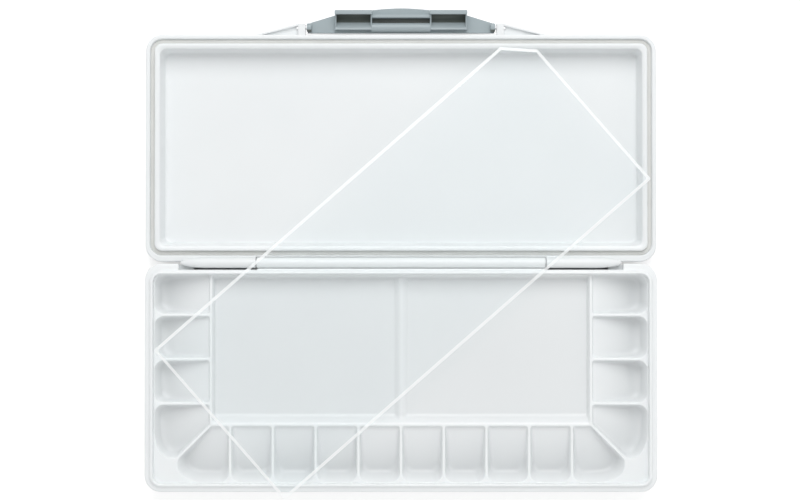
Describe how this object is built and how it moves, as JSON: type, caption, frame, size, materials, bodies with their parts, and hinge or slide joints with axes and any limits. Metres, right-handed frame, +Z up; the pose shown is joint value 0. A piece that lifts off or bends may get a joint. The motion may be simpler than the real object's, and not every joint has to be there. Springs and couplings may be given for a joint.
{
  "type": "watercolor palette",
  "caption": "Airtight folding watercolor palette, opened flat, with paint wells round a mixing area, a sealed lid, a latch flap and a loose clear sheet.",
  "frame": {"origin": "middle of the open palette's footprint on the table, under the hinge side of the base", "axes": "+X to the right along the hinge, +Y from the base towards the lid, +Z up from the table"},
  "size_m": [0.31, 0.2978, 0.0211],
  "materials": {
    "white_plastic": "glossy white moulded plastic",
    "grey_seal": "matt light grey silicone",
    "grey_latch": "satin grey-green moulded plastic",
    "steel": "bright drawn steel",
    "clear_sheet": "clear polished acrylic"
  },
  "bodies": {
    "base": {"base_tray": "white_plastic", "hinge_pin_left": "steel", "hinge_pin_right": "steel"},
    "lid": {"lid_shell": "white_plastic", "lid_gasket": "grey_seal", "latch_pin_left": "steel", "latch_pin_right": "steel"},
    "latch": {"latch_flap": "grey_latch"},
    "sheet": {"mixing_sheet": "clear_sheet"}
  },
  "joints": [
    {"name": "lid_hinge", "type": "hinge", "parent": "base", "child": "lid", "pos_m": [0, -0.00637, 0.016], "axis": [1, 0, 0], "range_deg": [0, 180]},
    {"name": "latch_swing", "type": "hinge", "parent": "lid", "child": "latch", "pos_m": [0, 0.13683, 0.0113], "axis": [1, 0, 0], "range_deg": [0, 90]},
    {"name": "sheet_turn", "type": "hinge", "parent": "base", "child": "sheet", "pos_m": [0, -0.1494, 0.0107], "axis": [1, 0, 0], "range_deg": [0, 180]}
  ],
  "couplings": [
    {"joint": "sheet_turn", "follows": "lid_hinge", "ratio": 1}
  ]
}
